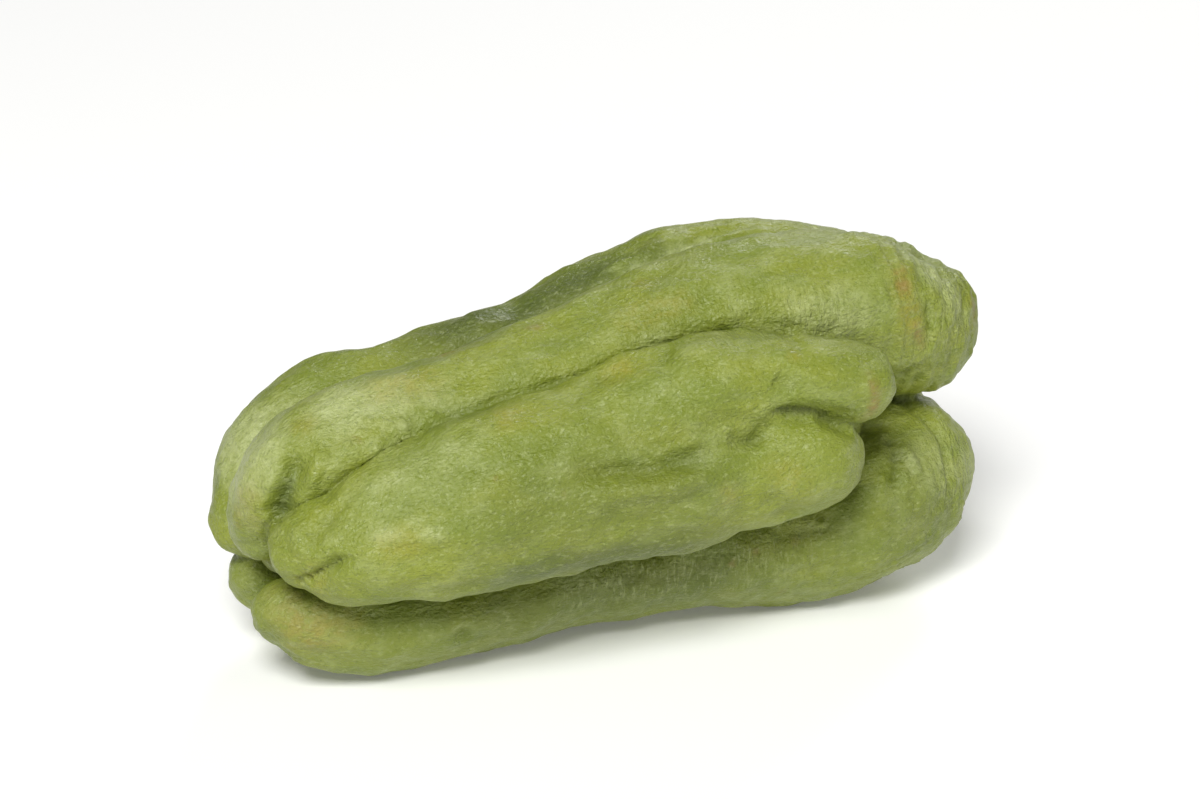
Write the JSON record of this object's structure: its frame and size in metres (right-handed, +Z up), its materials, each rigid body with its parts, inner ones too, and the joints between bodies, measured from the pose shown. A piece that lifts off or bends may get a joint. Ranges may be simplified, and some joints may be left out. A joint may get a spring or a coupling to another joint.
{
  "type": "chayote squash",
  "caption": "Deeply furrowed chayote squash with long lobes, a puckered stem end and a lipped blossom end, lying on its side.",
  "frame": {"origin": "on the surface that the fruit lies on, under the middle of its box", "axes": "+X from the stem end to the blossom end, +Z up, -Y towards the side with the forked lobe"},
  "size_m": [0.158, 0.0792, 0.0755],
  "materials": {
    "green_rind": "satin, finely wrinkled yellow-green rind"
  },
  "bodies": {
    "root": {"chayote_squash": "green_rind"}
  },
  "joints": []
}
